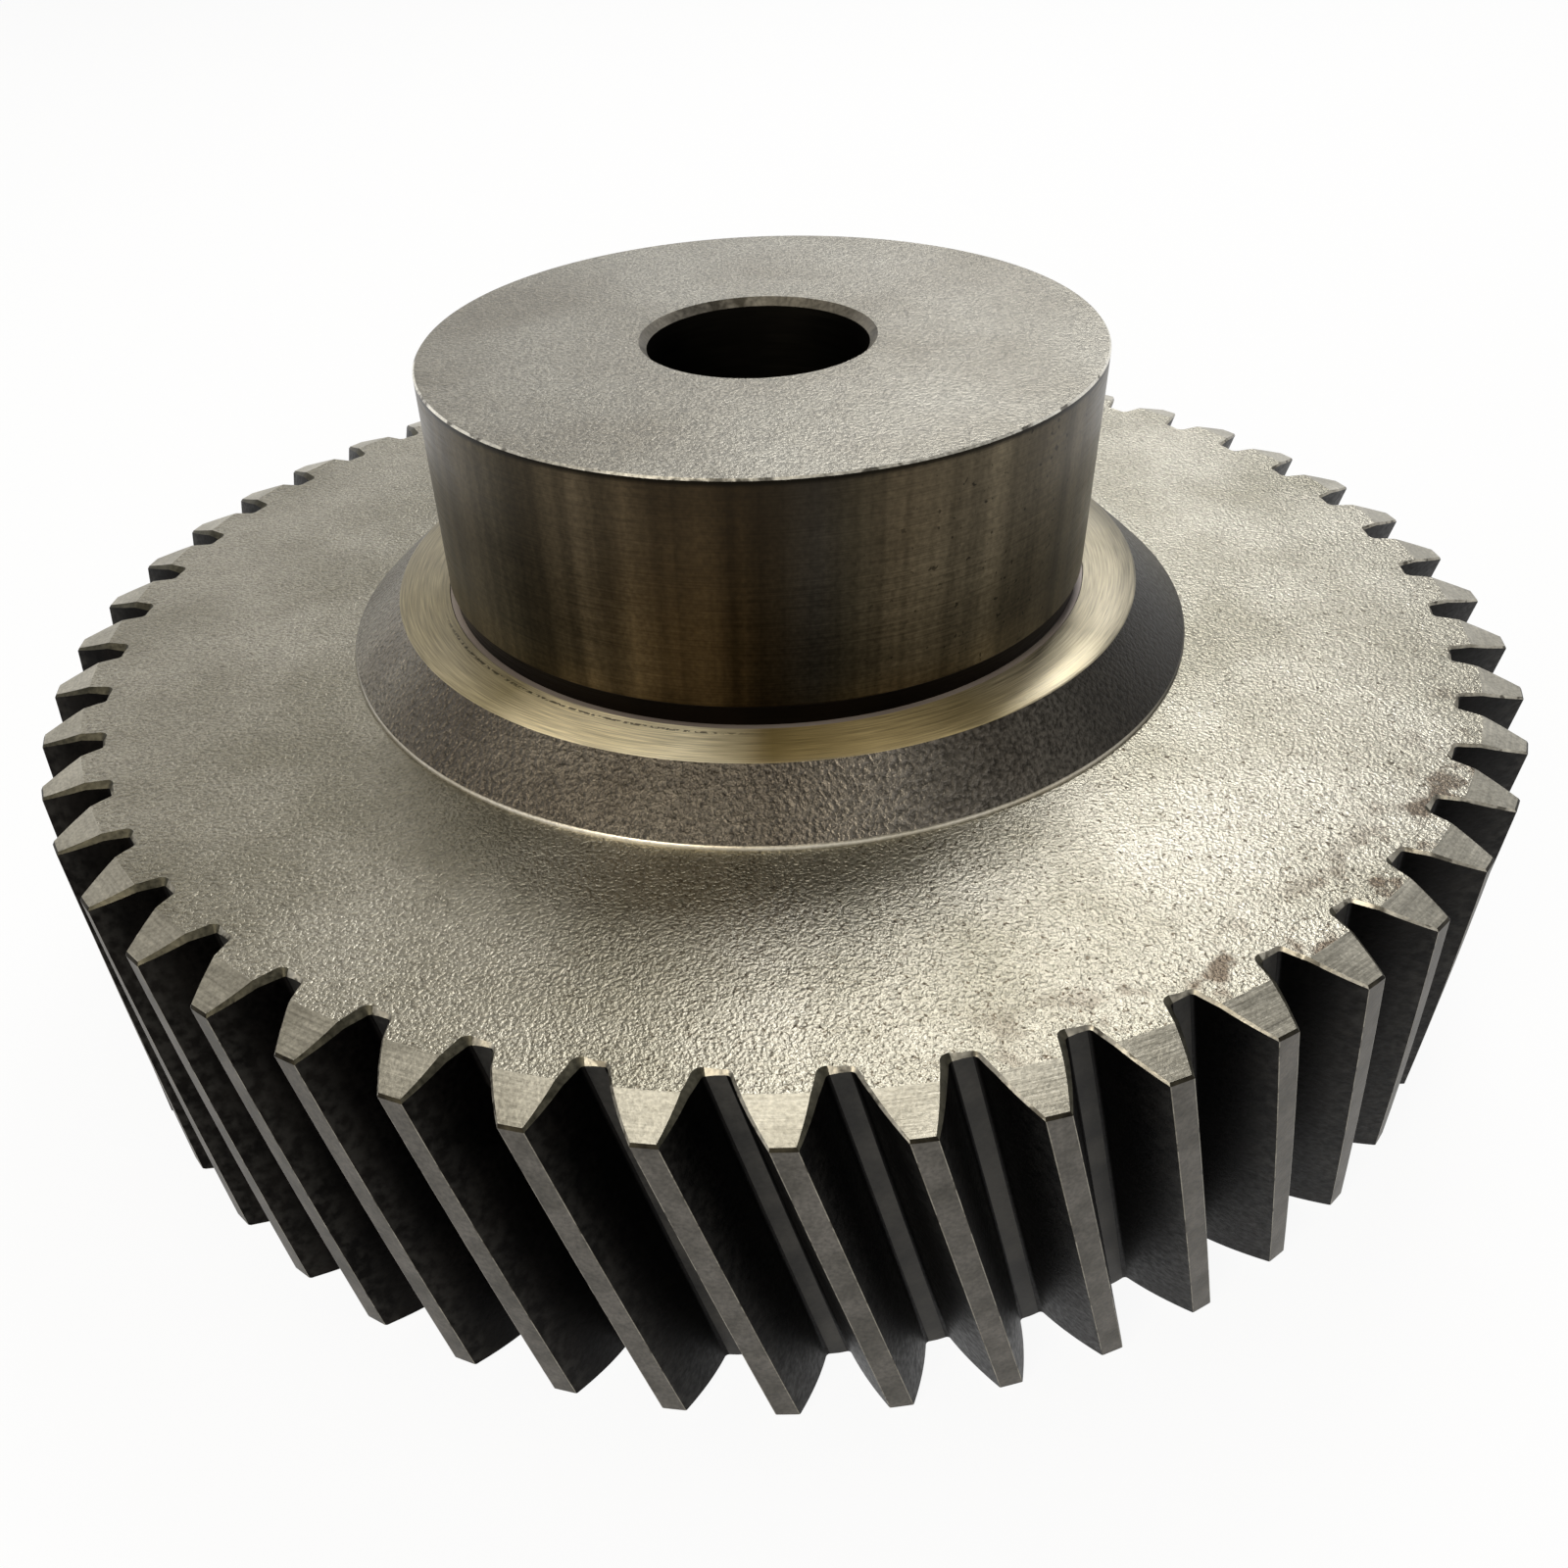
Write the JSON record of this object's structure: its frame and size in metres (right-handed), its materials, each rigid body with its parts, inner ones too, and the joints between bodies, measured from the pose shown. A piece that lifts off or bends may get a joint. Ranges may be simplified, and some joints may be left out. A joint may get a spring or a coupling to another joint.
{
  "type": "helical gear with hub",
  "caption": "One-piece helical gear wheel with left-hand teeth, a ground journal hub standing on one side, a forged shoulder round it and a plain through bore.",
  "frame": {"origin": "centre of the plain underside, on the axis of the bore", "axes": "+Z along the bore axis towards the hub, +X through the middle of a tooth at half the face width"},
  "size_m": [0.211, 0.211, 0.0914],
  "materials": {
    "gear_steel": "shot-blasted forged sides, ground journal, turned tooth ends and dark hobbed flanks"
  },
  "bodies": {
    "root": {"helical_gear": "gear_steel"}
  },
  "joints": []
}
